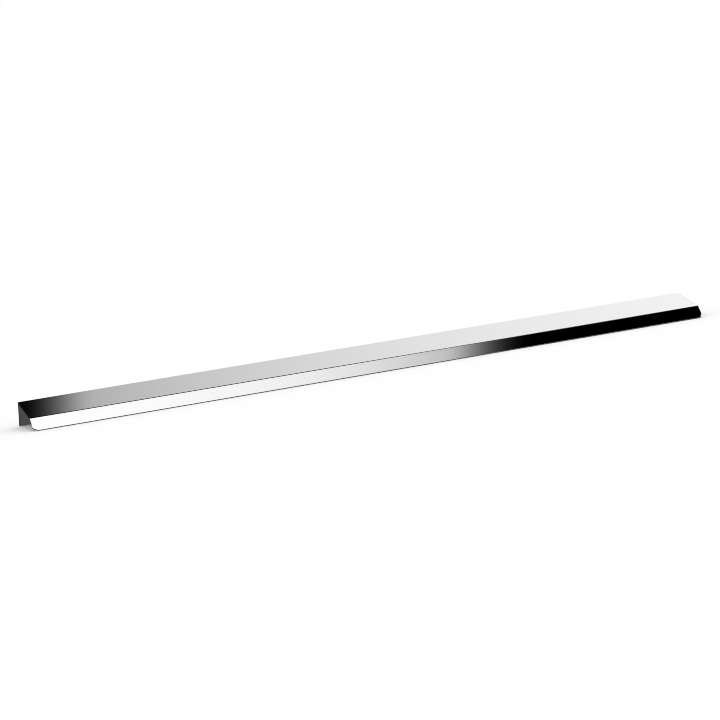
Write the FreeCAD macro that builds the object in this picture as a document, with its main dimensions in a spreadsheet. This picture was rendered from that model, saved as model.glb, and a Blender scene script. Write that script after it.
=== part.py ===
"""Handleless finger pull profile: one thin polished metal profile for the top edge of a door or drawer front.

Its section has three walls of one thickness. A leg hangs behind the door and takes countersunk screws,
a top plate covers the door's edge and reaches out in front of it, and a finger lip slopes down and
forward from the plate. The lip's two end corners are cut back, so that no point catches a hand.

The section is drawn as the profile is fitted, in Y and Z: the leg's back is Y = 0 with -Y to the front,
the plate's top is Z = 0, and X runs along the profile from its middle. Laid down loose, the profile tips
forward until it stands on the lower edges of the leg and the lip. The body's placement gives it that
rest, with the origin on the floor, under the middle of its bounding box.
"""
import FreeCAD, Part
import math
import os

import Sketcher

NODE = "finger_pull_profile"

# Driving sizes in millimetres and degrees: alias, value, what it measures
SIZES = [
    ("length", 720, "whole length of the profile"),
    ("top_depth", 40, "plate, from the leg's back to the bend of the lip"),
    ("leg_height", 25, "leg, from the plate's top to the leg's lower edge"),
    ("lip_width", 14, "lip, from the bend to its free edge"),
    ("lip_drop", 37, "angle of the lip below the plate"),
    ("wall", 1.5, "thickness of all three walls"),
    ("lip_bend", 1.6, "radius outside the bend between plate and lip"),
    ("inner_bend", 0.5, "radius inside each bend"),
    ("edge_round", 0.3, "radius on every other edge"),
    ("corner_along", 3, "lip's corner cut, along the profile"),
    ("corner_down", 4.5, "lip's corner cut, across the lip"),
    ("screw_hole", 4, "diameter of a screw hole"),
    ("countersink", 6, "diameter of its countersink in the leg's back"),
    ("countersink_angle", 90, "angle of the countersink"),
    ("screw_drop", 14, "screw holes' axes, below the plate's top"),
    ("screw_pitch", 224, "from one screw hole to the next"),
    ("end_margin", 20, "least distance from a screw hole to the profile's end"),
]

# The section's lines, in order round its outline, and the two that end at the bends' insides
LEG_BACK, PLATE_TOP, LIP_FACE, LIP_TIP, LIP_UNDER, PLATE_UNDER, LEG_FRONT, LEG_FOOT = range(8)
INNER_BENDS = (LIP_UNDER, PLATE_UNDER)

# The radius that every other edge is broken with, which never takes more than this share of the wall
ROUND_SHARE = 0.3
EDGE_RADIUS = f"min(Sizes.edge_round; {ROUND_SHARE} * Sizes.wall)"

# How many pitches lie between the first and the last screw hole
PITCHES = "floor((Sizes.length - 2 * Sizes.end_margin) / Sizes.screw_pitch)"

# Two points nearer than this are the same point
SAME_POINT = 1e-6


def fill_sheet(doc):
    """A sheet with one driving size in each row."""
    sheet = doc.addObject("Spreadsheet::Sheet", "Sizes")
    for row, (alias, value, meaning) in enumerate(SIZES, start=1):
        sheet.set(f"A{row}", meaning)
        sheet.set(f"B{row}", str(value))
        sheet.setAlias(f"B{row}", alias)
    doc.recompute()
    return sheet


def new_sketch(body, name, role):
    """An empty sketch on one of the body's own origin planes."""
    plane = next(item for item in body.Origin.OriginFeatures if item.Role == role)
    sketch = body.newObject("Sketcher::SketchObject", name)
    sketch.AttachmentSupport = [(plane, "")]
    sketch.MapMode = "FlatFace"
    return sketch


def bind(sketch, name, expression, *constraint):
    """Add a dimension to a sketch and tie it to an expression of the sheet's sizes."""
    index = sketch.addConstraint(Sketcher.Constraint(*constraint))
    sketch.renameConstraint(index, name)
    sketch.setExpression(f"Constraints.{name}", expression)


def draw_section(body, sizes):
    """The section with sharp corners: up the leg's back, out along the plate, down the lip and back inside."""
    drop = math.radians(sizes.lip_drop)
    bend = FreeCAD.Vector(-sizes.top_depth, 0, 0)
    tip = bend - FreeCAD.Vector(math.cos(drop), math.sin(drop), 0) * sizes.lip_width
    corners = [
        FreeCAD.Vector(0, -sizes.leg_height, 0),
        FreeCAD.Vector(0, 0, 0),
        bend,
        tip,
        tip + FreeCAD.Vector(math.sin(drop), -math.cos(drop), 0) * sizes.wall,
        bend + FreeCAD.Vector(math.tan(drop / 2), -1, 0) * sizes.wall,
        FreeCAD.Vector(-sizes.wall, -sizes.wall, 0),
        FreeCAD.Vector(-sizes.wall, -sizes.leg_height, 0),
    ]
    sketch = new_sketch(body, "Section", "YZ_Plane")
    for start, end in zip(corners, corners[1:] + corners[:1]):
        sketch.addGeometry(Part.LineSegment(start, end), False)
    for line in range(len(corners)):
        following = (line + 1) % len(corners)
        sketch.addConstraint(Sketcher.Constraint("Coincident", line, 2, following, 1))
    sketch.addConstraint(Sketcher.Constraint("Coincident", LEG_BACK, 2, -1, 1))
    for line in (LEG_BACK, LEG_FRONT):
        sketch.addConstraint(Sketcher.Constraint("Vertical", line))
    for line in (PLATE_TOP, PLATE_UNDER, LEG_FOOT):
        sketch.addConstraint(Sketcher.Constraint("Horizontal", line))
    sketch.addConstraint(Sketcher.Constraint("Parallel", LIP_FACE, LIP_UNDER))
    sketch.addConstraint(Sketcher.Constraint("Perpendicular", LIP_FACE, LIP_TIP))
    bind(sketch, "leg_height", "Sizes.leg_height", "Distance", LEG_BACK, sizes.leg_height)
    bind(sketch, "top_depth", "Sizes.top_depth", "Distance", PLATE_TOP, sizes.top_depth)
    bind(sketch, "lip_width", "Sizes.lip_width", "Distance", LIP_FACE, sizes.lip_width)
    bind(sketch, "lip_drop", "Sizes.lip_drop * 1 deg", "Angle", PLATE_TOP, LIP_FACE, drop)
    bind(sketch, "leg_wall", "Sizes.wall", "Distance", LEG_FOOT, sizes.wall)
    bind(sketch, "lip_wall", "Sizes.wall", "Distance", LIP_TIP, sizes.wall)
    bind(sketch, "plate_wall", "Sizes.wall", "Distance", PLATE_UNDER, 2, PLATE_TOP, sizes.wall)
    return sketch


def dress(body, kind, name, base, wanted):
    """A fillet or chamfer on those edges of the feature before it that a rule accepts."""
    feature = body.newObject(kind, name)
    names = [f"Edge{i}" for i, edge in enumerate(base.Shape.Edges, start=1) if wanted(edge)]
    feature.Base = (base, names)
    return feature


def long_edge_at(corners):
    """A rule for the edges that run the profile's length through these corners of the section."""

    def wanted(edge):
        start, end = (vertex.Point for vertex in edge.Vertexes)
        lengthwise = math.hypot(start.y - end.y, start.z - end.z) < SAME_POINT
        near = [math.hypot(start.y - corner.x, start.z - corner.y) for corner in corners]
        return lengthwise and min(near) < SAME_POINT

    return wanted


def end_edge_between(corner, other, half_length):
    """A rule for the two edges, one at each end of the profile, that join these corners of the section."""
    middle = (corner + other) / 2

    def wanted(edge):
        centre = edge.CenterOfMass
        at_end = abs(abs(centre.x) - half_length) < SAME_POINT
        return at_end and math.hypot(centre.y - middle.x, centre.z - middle.y) < SAME_POINT

    return wanted


def sharp_edge(shape):
    """A rule for the edges where two faces meet at an angle."""

    def wanted(edge):
        middle = edge.valueAt((edge.FirstParameter + edge.LastParameter) / 2)
        faces = shape.ancestorsOfType(edge, Part.Face)
        one, other = (face.normalAt(*face.Surface.parameter(middle)) for face in faces)
        return one.getAngle(other) > math.radians(1)

    return wanted


def build_bar(doc, body, sizes):
    """The extruded bar: its section, bends, cut lip corners and broken edges."""
    section = draw_section(body, sizes)
    bar = body.newObject("PartDesign::Pad", "Bar")
    bar.Profile = section
    bar.SideType = "Symmetric"
    bar.setExpression("Length", "Sizes.length")
    doc.recompute()
    corner = [line.EndPoint for line in section.Geometry]

    outer = dress(body, "PartDesign::Fillet", "LipBend", bar, long_edge_at([corner[PLATE_TOP]]))
    outer.setExpression("Radius", "Sizes.lip_bend")
    doc.recompute()

    inner = dress(body, "PartDesign::Fillet", "InnerBends", outer, long_edge_at([corner[i] for i in INNER_BENDS]))
    inner.setExpression("Radius", "Sizes.inner_bend")
    doc.recompute()

    lip_ends = end_edge_between(corner[LIP_FACE], corner[LIP_TIP], bar.Length.Value / 2)
    cuts = dress(body, "PartDesign::Chamfer", "LipCorners", inner, lip_ends)
    cuts.ChamferType = "Two distances"
    cuts.setExpression("Size", "Sizes.corner_along")
    cuts.setExpression("Size2", "Sizes.corner_down")
    doc.recompute()

    broken = dress(body, "PartDesign::Fillet", "BrokenEdges", cuts, sharp_edge(cuts.Shape))
    broken.setExpression("Radius", EDGE_RADIUS)
    doc.recompute()


def drill_screw_holes(doc, body, sizes):
    """A row of countersunk holes in the leg, centred on the profile and sunk from the leg's back."""
    mark = new_sketch(body, "FirstScrew", "XZ_Plane")
    start = FreeCAD.Vector(-sizes.length / 2, -sizes.screw_drop, 0)
    mark.addGeometry(Part.Circle(start, FreeCAD.Vector(0, 0, 1), sizes.screw_hole / 2), False)
    bind(mark, "from_middle", f"{PITCHES} * Sizes.screw_pitch / 2", "DistanceX", 0, 3, -1, 1, sizes.length / 2)
    bind(mark, "screw_drop", "Sizes.screw_drop", "DistanceY", 0, 3, -1, 1, sizes.screw_drop)
    bind(mark, "screw_hole", "Sizes.screw_hole", "Diameter", 0, sizes.screw_hole)
    doc.recompute()

    hole = body.newObject("PartDesign::Hole", "ScrewHole")
    hole.Profile = mark
    hole.Reversed = True
    hole.ThreadType = "None"
    hole.DepthType = "Dimension"
    hole.DrillPoint = "Flat"
    hole.HoleCutType = "Countersink"
    hole.HoleCutCustomValues = True
    hole.setExpression("Diameter", "Sizes.screw_hole")
    hole.setExpression("Depth", "2 * Sizes.wall")
    hole.setExpression("HoleCutDiameter", "Sizes.countersink")
    hole.setExpression("HoleCutCountersinkAngle", "Sizes.countersink_angle")
    doc.recompute()

    row = body.newObject("PartDesign::LinearPattern", "ScrewRow")
    row.Originals = [hole]
    row.Direction = (mark, ["H_Axis"])
    row.Mode = "Spacing"
    row.setExpression("Offset", "Sizes.screw_pitch")
    row.setExpression("Occurrences", f"{PITCHES} + 1")
    body.Tip = row
    doc.recompute()


def lay_down(doc, body):
    """Tip the profile forward on to its two lower edges and centre its box over the origin.

    Each lower edge is a rod of the broken edges' radius, and the floor is the common tangent of both rods:
    the one inside the leg's foot and the one under the lip's tip.
    """
    drop = "Sizes.lip_drop * 1 deg"
    reach = f"(Sizes.lip_width - {EDGE_RADIUS})"
    inset = f"(Sizes.wall - {EDGE_RADIUS})"
    lip_y = f"(-Sizes.top_depth - {reach} * cos({drop}) + {inset} * sin({drop}))"
    lip_z = f"(-{reach} * sin({drop}) - {inset} * cos({drop}))"
    front_y = f"(-Sizes.top_depth - {reach} * cos({drop}) + {EDGE_RADIUS} * sin({drop}))"
    front_z = f"(-{reach} * sin({drop}) - {EDGE_RADIUS} * cos({drop}))"
    foot_y = f"(-{inset})"
    foot_z = f"(-Sizes.leg_height + {EDGE_RADIUS})"
    tilt = f"atan(({lip_z} - {foot_z}) / ({foot_y} - {lip_y}))"
    lowest = f"({foot_y} * sin({tilt}) + {foot_z} * cos({tilt}) - {EDGE_RADIUS})"
    rearmost = f"(-{EDGE_RADIUS} * cos({tilt}) - {foot_z} * sin({tilt}) + {EDGE_RADIUS})"
    foremost = f"({front_y} * cos({tilt}) - {front_z} * sin({tilt}) - {EDGE_RADIUS})"
    body.Placement = FreeCAD.Placement(FreeCAD.Vector(), FreeCAD.Rotation(FreeCAD.Vector(1, 0, 0), 1))
    body.setExpression("Placement.Rotation.Angle", tilt)
    body.setExpression("Placement.Base.y", f"-({rearmost} + {foremost}) / 2")
    body.setExpression("Placement.Base.z", f"-{lowest}")
    doc.recompute()


def check(doc, body):
    """Stop if any object failed, or if the finished shape is empty or unsound."""
    failed = [item.Name for item in doc.Objects if {"Invalid", "Error"} & set(item.State)]
    if failed:
        raise RuntimeError("these objects failed: " + ", ".join(failed))
    if body.Shape.isNull() or not body.Shape.isValid() or len(body.Shape.Solids) != 1:
        raise RuntimeError(f"{body.Label} is not one sound solid")


def main():
    doc = FreeCAD.newDocument("FingerPullProfile")
    sizes = fill_sheet(doc)
    profile = doc.addObject("PartDesign::Body", "Profile")
    profile.Label = NODE
    build_bar(doc, profile, sizes)
    drill_screw_holes(doc, profile, sizes)
    lay_down(doc, profile)
    check(doc, profile)
    os.makedirs("parts", exist_ok=True)
    profile.Shape.exportStep(f"parts/{profile.Label}.step")
    print(f"{profile.Label}: {profile.Shape.Volume:.1f} mm3, {profile.Shape.BoundBox}")


main()
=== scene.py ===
"""Handleless finger pull profile in polished chrome, lying loose on a white studio floor."""
import bpy
import math
from mathutils import Matrix, Vector


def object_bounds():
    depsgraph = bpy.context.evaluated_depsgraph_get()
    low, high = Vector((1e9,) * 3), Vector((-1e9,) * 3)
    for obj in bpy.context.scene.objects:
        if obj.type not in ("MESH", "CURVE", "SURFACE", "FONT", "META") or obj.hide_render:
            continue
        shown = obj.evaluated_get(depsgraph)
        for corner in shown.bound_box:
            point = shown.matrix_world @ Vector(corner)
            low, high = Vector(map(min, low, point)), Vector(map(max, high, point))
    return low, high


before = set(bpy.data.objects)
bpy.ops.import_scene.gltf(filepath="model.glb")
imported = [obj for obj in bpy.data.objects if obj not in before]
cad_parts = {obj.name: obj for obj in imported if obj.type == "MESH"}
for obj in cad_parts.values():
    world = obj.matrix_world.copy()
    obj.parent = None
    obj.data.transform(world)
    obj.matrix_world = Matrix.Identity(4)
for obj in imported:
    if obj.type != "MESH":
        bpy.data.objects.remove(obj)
cad_low, cad_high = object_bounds()

# The profile is one aluminium extrusion, buffed and then chromed all over. Its leg, plate and lip
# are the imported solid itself, so only the finish is made here: a mirror on the outer faces, and a
# duller plate on the inner ones, which aren't buffed and still show the lines of the die.
NODE = "finger_pull_profile"
HALF_LENGTH = cad_high[0]
TILT = math.radians(17.5437)
PLATE_BACK_EDGE = Vector((0.0, 0.01934145, 0.02421286))
PLATE_DEPTH = 0.040
LIP_DROP = math.radians(37)
OUTER_SKIN = -0.0006
INNER_SKIN = -0.0009
END_ROUND = 0.0003
CHROME_COLOUR = (0.95, 0.95, 0.955, 1.0)
MIRROR_ROUGHNESS = 0.016
BUFFING_HAZE = 0.02
BUFFING_HAZE_SIZE = (0.150, 0.020)
BUFFING_HAZE_DETAIL = 2.0
WIPE_MARKS = 0.035
WIPE_MARK_SIZE = (0.060, 0.0006)
WIPE_MARK_DETAIL = 1.0
WIPE_MARK_START = (0.64, 0.74)
WAVE_HEIGHT = 0.0000012
WAVE_SIZE = (0.250, 0.008)
WAVE_DETAIL = 1.0
INNER_COLOUR = (0.88, 0.88, 0.89, 1.0)
INNER_ROUGHNESS = 0.07
DIE_LINE_COLOUR = (0.76, 0.76, 0.77, 1.0)
DIE_LINE_ROUGHNESS = 0.08
DIE_LINE_HEIGHT = 0.0000012
DIE_LINE_SIZE = (0.300, 0.0005)
DIE_LINE_DETAIL = 3.0
DIE_LINE_SPREAD = (0.34, 0.66)


def math_node(tree, operation, first, second):
    """One sum on a node tree. Each term is a number or another node's output."""
    node = tree.nodes.new("ShaderNodeMath")
    node.operation = operation
    for socket, term in zip(node.inputs, (first, second)):
        if isinstance(term, float):
            socket.default_value = term
        else:
            tree.links.new(term, socket)
    return node.outputs[0]


def soft_edge(tree, value, start, end):
    """Rises smoothly from 0 at start to 1 at end."""
    edge = tree.nodes.new("ShaderNodeMapRange")
    edge.interpolation_type = "SMOOTHSTEP"
    edge.inputs["From Min"].default_value = start
    edge.inputs["From Max"].default_value = end
    tree.links.new(value, edge.inputs["Value"])
    return edge.outputs["Result"]


def blend(tree, share, first, second):
    """Goes from the first number to the second as the share rises from 0 to 1."""
    mix = tree.nodes.new("ShaderNodeMix")
    tree.links.new(share, mix.inputs["Factor"])
    tree.links.new(first, mix.inputs[2])
    tree.links.new(second, mix.inputs[3])
    return mix.outputs[0]


def blend_colours(tree, share, first, second):
    """Goes from the first colour to the second as the share rises from 0 to 1."""
    mix = tree.nodes.new("ShaderNodeMix")
    mix.data_type = "RGBA"
    tree.links.new(share, mix.inputs["Factor"])
    for socket, term in zip((mix.inputs[6], mix.inputs[7]), (first, second)):
        if isinstance(term, tuple):
            socket.default_value = term
        else:
            tree.links.new(term, socket)
    return mix.outputs[2]


def in_profile_axes(tree):
    """Object coordinates turned square to the plate: x along, y back and z up from its back edge."""
    coordinates = tree.nodes.new("ShaderNodeTexCoord")
    turned = tree.nodes.new("ShaderNodeMapping")
    turned.vector_type = "TEXTURE"
    turned.inputs["Location"].default_value = PLATE_BACK_EDGE
    turned.inputs["Rotation"].default_value = (TILT, 0.0, 0.0)
    tree.links.new(coordinates.outputs["Object"], turned.inputs["Vector"])
    return turned.outputs[0]


def streaks(tree, own, size, detail):
    """A noise from 0 to 1 whose grains are as long along the profile and as wide across it as size."""
    long, wide = size
    stretched = tree.nodes.new("ShaderNodeMapping")
    stretched.inputs["Scale"].default_value = (1 / long, 1 / wide, 1 / wide)
    tree.links.new(own, stretched.inputs["Vector"])
    noise = tree.nodes.new("ShaderNodeTexNoise")
    noise.inputs["Scale"].default_value = 1.0
    noise.inputs["Detail"].default_value = detail
    tree.links.new(stretched.outputs[0], noise.inputs["Vector"])
    return noise.outputs[0]


def height_above(tree, own, corner, normal):
    """How far a point stands out past one outer face, given by a corner on it and its normal."""
    offset = tree.nodes.new("ShaderNodeVectorMath")
    offset.operation = "SUBTRACT"
    tree.links.new(own, offset.inputs[0])
    offset.inputs[1].default_value = corner
    along_normal = tree.nodes.new("ShaderNodeVectorMath")
    along_normal.operation = "DOT_PRODUCT"
    tree.links.new(offset.outputs["Vector"], along_normal.inputs[0])
    along_normal.inputs[1].default_value = normal
    return along_normal.outputs["Value"]


def bump(tree, height, distance, under):
    """Raises the surface, or the bump under it, by a height from 0 to 1 times a distance in metres."""
    raised = tree.nodes.new("ShaderNodeBump")
    raised.inputs["Distance"].default_value = distance
    tree.links.new(height, raised.inputs["Height"])
    if under:
        tree.links.new(under, raised.inputs["Normal"])
    return raised.outputs[0]


chrome = bpy.data.materials.new("polished_chrome_plate")
chrome.use_nodes = True
tree = chrome.node_tree
shader = tree.nodes["Principled BSDF"]
own = in_profile_axes(tree)

# An inner face lies under all three outer faces by most of the wall, and isn't on an end.
past_leg = height_above(tree, own, (0.0, 0.0, 0.0), (0.0, 1.0, 0.0))
past_plate = height_above(tree, own, (0.0, 0.0, 0.0), (0.0, 0.0, 1.0))
lip_normal = (0.0, -math.sin(LIP_DROP), math.cos(LIP_DROP))
past_lip = height_above(tree, own, (0.0, -PLATE_DEPTH, 0.0), lip_normal)
skin = math_node(tree, "MAXIMUM", math_node(tree, "MAXIMUM", past_leg, past_plate), past_lip)
parts = tree.nodes.new("ShaderNodeSeparateXYZ")
tree.links.new(own, parts.inputs[0])
from_middle = math_node(tree, "ABSOLUTE", parts.outputs["X"], 0.0)
between_ends = soft_edge(tree, from_middle, HALF_LENGTH - END_ROUND, HALF_LENGTH - 2 * END_ROUND)
inner = math_node(tree, "MULTIPLY", soft_edge(tree, skin, OUTER_SKIN, INNER_SKIN), between_ends)

# Buffing and wiping leave long faint streaks on the mirror, and the die leaves finer ones inside.
haze = streaks(tree, own, BUFFING_HAZE_SIZE, BUFFING_HAZE_DETAIL)
haze = math_node(tree, "MULTIPLY", haze, BUFFING_HAZE)
marks = streaks(tree, own, WIPE_MARK_SIZE, WIPE_MARK_DETAIL)
marks = math_node(tree, "MULTIPLY", soft_edge(tree, marks, *WIPE_MARK_START), WIPE_MARKS)
mirror = math_node(tree, "ADD", math_node(tree, "ADD", haze, marks), MIRROR_ROUGHNESS)
die_lines = soft_edge(tree, streaks(tree, own, DIE_LINE_SIZE, DIE_LINE_DETAIL), *DIE_LINE_SPREAD)
dull = math_node(tree, "ADD", math_node(tree, "MULTIPLY", die_lines, DIE_LINE_ROUGHNESS), INNER_ROUGHNESS)
tree.links.new(blend(tree, inner, mirror, dull), shader.inputs["Roughness"])

inner_colour = blend_colours(tree, die_lines, INNER_COLOUR, DIE_LINE_COLOUR)
tree.links.new(blend_colours(tree, inner, CHROME_COLOUR, inner_colour), shader.inputs["Base Color"])

# The whole surface waves a little, by about a micrometre, and the die lines stand up as much.
waves = bump(tree, streaks(tree, own, WAVE_SIZE, WAVE_DETAIL), WAVE_HEIGHT, None)
inner_lines = math_node(tree, "MULTIPLY", die_lines, inner)
tree.links.new(bump(tree, inner_lines, DIE_LINE_HEIGHT, waves), shader.inputs["Normal"])
shader.inputs["Metallic"].default_value = 1.0

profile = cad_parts[NODE]
profile.data.materials.clear()
profile.data.materials.append(chrome)

# The floor is matt white under an even white sky, so that it renders white and keeps the
# profile's shadow.
FLOOR_SIDE = 60.0
WHITE = (1.0, 1.0, 1.0, 1.0)


def lay_stage(name, corners, material, place):
    """Adds one flat four-cornered piece of studio, which isn't part of the profile."""
    mesh = bpy.data.meshes.new(name)
    mesh.from_pydata(corners, [], [(0, 1, 2, 3)])
    mesh.materials.append(material)
    piece = bpy.data.objects.new(name, mesh)
    piece.matrix_world = place
    bpy.context.scene.collection.objects.link(piece)
    return piece


def flat(width, depth):
    """The corners of a rectangle that lies level about its own middle."""
    return [(x * width / 2, y * depth / 2, 0.0) for x, y in ((-1, -1), (1, -1), (1, 1), (-1, 1))]


matt_white = bpy.data.materials.new("matt_white_floor")
matt_white.use_nodes = True
nodes = matt_white.node_tree.nodes
nodes.remove(nodes["Principled BSDF"])
diffuse = nodes.new("ShaderNodeBsdfDiffuse")
diffuse.inputs["Color"].default_value = WHITE
matt_white.node_tree.links.new(diffuse.outputs[0], nodes["Material Output"].inputs["Surface"])
lay_stage("floor", flat(FLOOR_SIDE, FLOOR_SIDE), matt_white, Matrix())

sky = bpy.data.worlds.new("white_studio")
bpy.context.scene.world = sky
sky.use_nodes = True
sky.node_tree.nodes["Background"].inputs["Color"].default_value = WHITE

# Chrome shows only what stands round it. Cards that nothing but the chrome sees glow to paint the
# bright and black bands of its reflections, and light nothing. This one is a back wall whose glow
# paints it as lit from the right, and dark where the plate's left end mirrors it. All cards are set
# up square to the plate, in the profile's own axes.
BACK_WALL_PLACE = Vector((0.0, 2.0, 0.07))
BACK_WALL_SIZE = (6.0, 2.1)
BACK_WALL_BRIGHT = 1.0695
BACK_WALL_DIM = 0.736
BACK_WALL_FALL_OFF = 0.8584
BACK_WALL_EDGE = (0.1514, 0.3213)
BACK_WALL_EDGE_POWER = 2.435
BACK_WALL_TOP = (0.975, 0.960)
BACK_WALL_RIGHT_FADE = (1.75, 2.35)
BACK_WALL_RIGHT_SHADE = 0.8
BACK_WALL_LEFT_LIGHT = (-1.5, -2.1)
BACK_WALL_LEFT_SHARE = 0.85
BACK_WALL_GREY_RISE = (0.10, -0.45)
BACK_WALL_GREY = 0.02
BACK_WALL_BLACK = 0.0013

tip = Matrix.Rotation(TILT, 3, "X")
own_axes = Matrix.Translation(PLATE_BACK_EDGE) @ tip.to_4x4()


def hide_but_in_chrome(piece):
    """Leaves a piece of studio to be seen only in the chrome."""
    piece.visible_camera = False
    piece.visible_diffuse = False
    piece.visible_transmission = False
    piece.visible_volume_scatter = False
    piece.visible_shadow = False


def set_card(name, width, depth, light, turn, middle):
    """Hangs a card, seen only in reflections, by its middle and its turn in the profile's axes."""
    place = own_axes @ Matrix.Translation(middle) @ turn.to_4x4()
    piece = lay_stage(name, flat(width, depth), light, place)
    hide_but_in_chrome(piece)


def card_light(name):
    """A material that only glows, with its node tree and the socket for its strength."""
    material = bpy.data.materials.new(name)
    material.use_nodes = True
    tree = material.node_tree
    tree.nodes.remove(tree.nodes["Principled BSDF"])
    glow = tree.nodes.new("ShaderNodeEmission")
    tree.links.new(glow.outputs[0], tree.nodes["Material Output"].inputs["Surface"])
    return material, tree, glow.inputs["Strength"]


def along_card(tree, axis="X"):
    """The distance along a card, or with Y across it, from its middle, in metres."""
    coordinates = tree.nodes.new("ShaderNodeTexCoord")
    parts = tree.nodes.new("ShaderNodeSeparateXYZ")
    tree.links.new(coordinates.outputs["Object"], parts.inputs[0])
    return parts.outputs[axis]


# The back wall's glow is painted light: bright on the right and falling off to the left, dimmed at the far
# right, dark where the plate's left end mirrors it, faintly grey past that and bright again at the far
# left.
back_wall, tree, strength = card_light("back_wall_painted_reflection_glow")
along = along_card(tree)
distance = math_node(tree, "SUBTRACT", BACK_WALL_EDGE[0], along)
dying = math_node(tree, "EXPONENT", math_node(tree, "DIVIDE", distance, BACK_WALL_FALL_OFF), 0.0)
dimming = math_node(tree, "MULTIPLY", dying, BACK_WALL_DIM)
level = math_node(tree, "SUBTRACT", BACK_WALL_BRIGHT, dimming)
edge = math_node(tree, "POWER", soft_edge(tree, along, *BACK_WALL_EDGE), BACK_WALL_EDGE_POWER)
edge = math_node(tree, "MULTIPLY", edge, soft_edge(tree, along_card(tree, "Y"), *BACK_WALL_TOP))
fade = soft_edge(tree, along, *BACK_WALL_RIGHT_FADE)
painted_shade = math_node(tree, "SUBTRACT", 1.0, math_node(tree, "MULTIPLY", fade, BACK_WALL_RIGHT_SHADE))
painted_light = math_node(tree, "MULTIPLY", math_node(tree, "MULTIPLY", level, edge), painted_shade)
left = soft_edge(tree, along, *BACK_WALL_LEFT_LIGHT)
left = math_node(tree, "MULTIPLY", left, BACK_WALL_LEFT_SHARE)
grey = math_node(tree, "MULTIPLY", soft_edge(tree, along, *BACK_WALL_GREY_RISE), BACK_WALL_GREY)
dark = math_node(tree, "ADD", math_node(tree, "ADD", left, grey), BACK_WALL_BLACK)
tree.links.new(math_node(tree, "ADD", painted_light, dark), strength)
upright = Matrix.Rotation(math.radians(90), 3, "X")
set_card("back_wall_painted_reflection_card", *BACK_WALL_SIZE, back_wall, upright, BACK_WALL_PLACE)

# A glowing card overhead paints the lip's bright reflection, as a bank of light would, and lights
# nothing. It ends where the lip turns black, and a fainter painted light follows past that stretch.
BANK_PLACE = Vector((0.8, -0.62, 2.02))
BANK_SIZE = (4.0, 1.2)
BANK_TURN = math.radians(-10.16)
BANK_BRIGHT = 1.053
BANK_DROP = 0.265
BANK_DROP_START = -1.0698
BANK_DROP_POWER = 3.97
BANK_EDGE = (0.0912, 0.3294)
BANK_EDGE_POWER = 3.64
BANK_RIGHT_LIGHT = (0.85, 1.60)
BANK_RIGHT_SHARE = 0.45

# The bank's glow is a painted reflection for the lip, falling off towards its right end.
bank, tree, strength = card_light("overhead_bank_painted_reflection_glow")
along = along_card(tree)
drop = math_node(tree, "MAXIMUM", math_node(tree, "SUBTRACT", along, BANK_DROP_START), 0.0)
loss = math_node(tree, "MULTIPLY", math_node(tree, "POWER", drop, BANK_DROP_POWER), BANK_DROP)
level = math_node(tree, "SUBTRACT", BANK_BRIGHT, loss)
left = math_node(tree, "SUBTRACT", 1.0, soft_edge(tree, along, *BANK_EDGE))
painted_light = math_node(tree, "MULTIPLY", level, math_node(tree, "POWER", left, BANK_EDGE_POWER))
faint = math_node(tree, "MULTIPLY", soft_edge(tree, along, *BANK_RIGHT_LIGHT), BANK_RIGHT_SHARE)
tree.links.new(math_node(tree, "ADD", painted_light, faint), strength)
turned = Matrix.Rotation(BANK_TURN, 3, "Z")
set_card("overhead_bank_painted_reflection_card", *BANK_SIZE, bank, turned, BANK_PLACE)

# Two flags close the gaps between the back wall, the bank and the floor in front, so that the
# bends show as thin black lines of painted reflection. They glow white past the stretch that those
# lines mirror, and a painted stray light greys a part of each, most along its first edge.
FLAG_WIDTH = 8.0
FLAG_WHITE = 0.8
FLAG_LEFT_FADE = (-1.3, -2.7)
FLAG_LEFT_LOSS = 0.55
CEILING_FLAG_EDGES = ((2.0, 1.12), (-0.36, 2.0))
CEILING_FLAG_WHITE_ENDS = ((0.07, -0.50), (1.62, 2.05))
CEILING_FLAG_PAINTED_STRAY_LIGHT = ((0.62, 0.92), (1.54, 1.00))
CEILING_FLAG_GREY = 0.52
FRONT_FLAG_EDGES = ((-0.90, 2.0), (-2.6, 0.80))
FRONT_FLAG_WHITE_ENDS = ((0.05, -1.20), (1.85, 2.45))
FRONT_FLAG_PAINTED_STRAY_LIGHT = ((0.10, 0.90), (2.40, 1.60))
FRONT_FLAG_GREY = 0.30


def set_flag(name, edges, white_ends, painted_stray_light, grey):
    """Hangs a glowing flag between two edges, each given as y and z, that is dark between its white ends
    and greyed by painted stray light.
    """
    flag, tree, strength = card_light(name)
    along = along_card(tree)
    left_end, right_end = white_ends
    loss = math_node(tree, "MULTIPLY", soft_edge(tree, along, *FLAG_LEFT_FADE), FLAG_LEFT_LOSS)
    left = math_node(tree, "SUBTRACT", soft_edge(tree, along, *left_end), loss)
    white = math_node(tree, "MAXIMUM", left, soft_edge(tree, along, *right_end))
    white = math_node(tree, "MULTIPLY", white, FLAG_WHITE)

    first_edge, second_edge = Vector(edges[0]), Vector(edges[1])
    across = second_edge - first_edge
    rise, fall = painted_stray_light
    painted_stray = math_node(tree, "MULTIPLY", soft_edge(tree, along, *rise), soft_edge(tree, along, *fall))
    fade = soft_edge(tree, along_card(tree, "Y"), across.length / 2, -across.length / 2)
    painted_stray = math_node(tree, "MULTIPLY", math_node(tree, "MULTIPLY", painted_stray, fade), grey)
    tree.links.new(math_node(tree, "MAXIMUM", white, painted_stray), strength)

    middle = (first_edge + second_edge) / 2
    slope = Matrix.Rotation(math.atan2(across.y, across.x), 3, "X")
    set_card(name, FLAG_WIDTH, across.length, flag, slope, Vector((0.0, middle.x, middle.y)))


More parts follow.
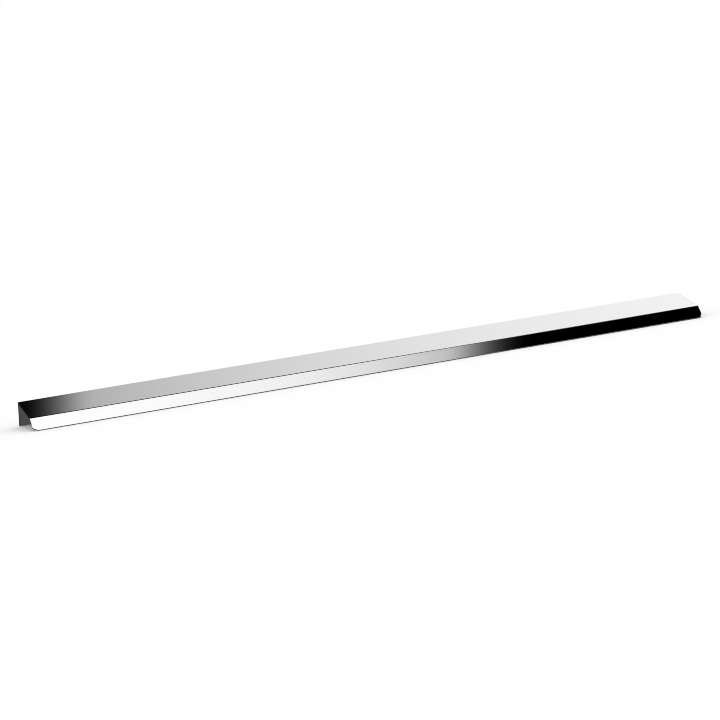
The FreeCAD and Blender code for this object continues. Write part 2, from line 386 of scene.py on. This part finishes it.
# The flags' dark bands, white ends and grey stray light are all painted reflections.
set_flag(
    "ceiling_flag_painted_reflection", CEILING_FLAG_EDGES, CEILING_FLAG_WHITE_ENDS, CEILING_FLAG_PAINTED_STRAY_LIGHT, CEILING_FLAG_GREY
)
set_flag("front_flag_painted_reflection", FRONT_FLAG_EDGES, FRONT_FLAG_WHITE_ENDS, FRONT_FLAG_PAINTED_STRAY_LIGHT, FRONT_FLAG_GREY)

# A glowing grey board past the bank's left end paints a tone of its own into the lip's reflection
# from the other side. It hangs level, and its glow is brightest next to the bank.
GREY_BOARD_PLACE = Vector((-1.8, -0.9, 1.5))
GREY_BOARD_SIZE = (2.0, 0.9)
GREY_BOARD_FADE = (-1.2, 1.0)
GREY_BOARD_BRIGHT = 0.55

# The board's glow is a painted reflection, fading towards its left end.
board, tree, strength = card_light("grey_board_painted_reflection")
fade = soft_edge(tree, along_card(tree), *GREY_BOARD_FADE)
tree.links.new(math_node(tree, "MULTIPLY", fade, GREY_BOARD_BRIGHT), strength)
set_card("grey_board_painted_reflection", *GREY_BOARD_SIZE, board, Matrix.Identity(3), GREY_BOARD_PLACE)

# Papers on the floor, seen only in the chrome, paint its reflections: black ones paint shade into
# the lip's lower edge and darkness into the left end, and a dark grey one paints shade into the
# hollow underneath, where the floor lies in the profile's shadow. The one behind the leg glows from
# black to white, a painted reflection.
PAPER_OVERHANG = 0.0005
PAPER_END = HALF_LENGTH + PAPER_OVERHANG
PAPER_BACK = cad_high[1]
HOLLOW_FRONT = -0.034
FAR_LEFT = -2.00
FAR_FRONT = -0.10
FAR_BACK = 2.00
FRONT_PAPER_END = 0.60
WHITE_FROM = 0.60
PAPER_HEIGHT = 0.0001
GREY_PAPER_HEIGHT = 0.0002
PAINTED_FLOOR_SHADE_GREY = 0.082


def even_light(name, brightness):
    """A material that glows alike all over."""
    light, _, strength = card_light(name)
    strength.default_value = brightness
    return light


def lay_paper(name, light, low, high, height):
    """Lays a paper on the floor, seen only in reflections, between two corners."""
    (left_side, front), (right_side, rear) = low, high
    corners = [
        (left_side, front, height),
        (right_side, front, height),
        (right_side, rear, height),
        (left_side, rear, height),
    ]
    piece = lay_stage(name, corners, light, Matrix())
    hide_but_in_chrome(piece)


# The black papers paint shade into the lip's lower edge and darkness into the left end.
black = even_light("black_paper_painted_dark_reflection", 0.0)
in_front = ((-FRONT_PAPER_END, FAR_FRONT), (FRONT_PAPER_END, HOLLOW_FRONT))
past_left_end = ((FAR_LEFT, FAR_FRONT), (-PAPER_END, FAR_BACK))
lay_paper("black_paper_in_front", black, *in_front, PAPER_HEIGHT)
lay_paper("black_paper_past_left_end", black, *past_left_end, PAPER_HEIGHT)

# This paper's glow is a painted reflection, black at the profile's left end and white to the right.
fading, tree, strength = card_light("paper_painted_reflection_black_to_white")
tree.links.new(soft_edge(tree, along_card(tree), -PAPER_END, WHITE_FROM), strength)
behind_leg = ((-PAPER_END, PAPER_BACK), (WHITE_FROM, FAR_BACK))
lay_paper("paper_behind_leg", fading, *behind_leg, PAPER_HEIGHT)

# The dark grey paper paints shade into the hollow underneath, where the floor lies in the profile's shadow.
painted_floor_shade = even_light("grey_paper_painted_floor_shade", PAINTED_FLOOR_SHADE_GREY)
below = ((-PAPER_END, HOLLOW_FRONT), (PAPER_END, PAPER_BACK))
lay_paper("grey_paper_below", painted_floor_shade, *below, GREY_PAPER_HEIGHT)

# The camera looks at the profile as the photograph does. Its angles are taken from the profile's
# own axes and its distances from the profile's length, and each pixel gathers light from one
# pixel's width only, which keeps the edges as crisp as they are in the photograph.
LENGTH = 2 * HALF_LENGTH
AZIMUTH = math.radians(-23.1833)
ELEVATION = math.radians(23.4541)
ROLL = math.radians(0.1283)
DISTANCE = 3.59986 * LENGTH
RIGHTWARD = -0.00698 * LENGTH
UPWARD = -0.02163 * LENGTH
FOCAL_PIXELS = 2584.62
FRAME_PIXELS = 720
SENSOR = 36.0
NEAREST_SEEN = 0.1
FARTHEST_SEEN = 100.0
PIXEL_WIDTH = 1.0

level_back = Vector((math.sin(AZIMUTH), -math.cos(AZIMUTH), 0.0))
back = level_back * math.cos(ELEVATION) + Vector((0.0, 0.0, math.sin(ELEVATION)))
right = Vector((math.cos(AZIMUTH), math.sin(AZIMUTH), 0.0))
up = back.cross(right)
axes = Matrix((tip @ right, tip @ up, tip @ back)).transposed() @ Matrix.Rotation(ROLL, 3, "Z")
place = PLATE_BACK_EDGE + tip @ (back * DISTANCE + right * RIGHTWARD + up * UPWARD)
lens = bpy.data.cameras.new("camera")
lens.sensor_width = SENSOR
lens.lens = SENSOR * FOCAL_PIXELS / FRAME_PIXELS
lens.clip_start = NEAREST_SEEN
lens.clip_end = FARTHEST_SEEN
camera = bpy.data.objects.new("camera", lens)
camera.matrix_world = Matrix.Translation(place) @ axes.to_4x4()
bpy.context.scene.collection.objects.link(camera)
bpy.context.scene.camera = camera
bpy.context.scene.cycles.filter_width = PIXEL_WIDTH

bpy.context.scene.view_settings.view_transform = "Standard"
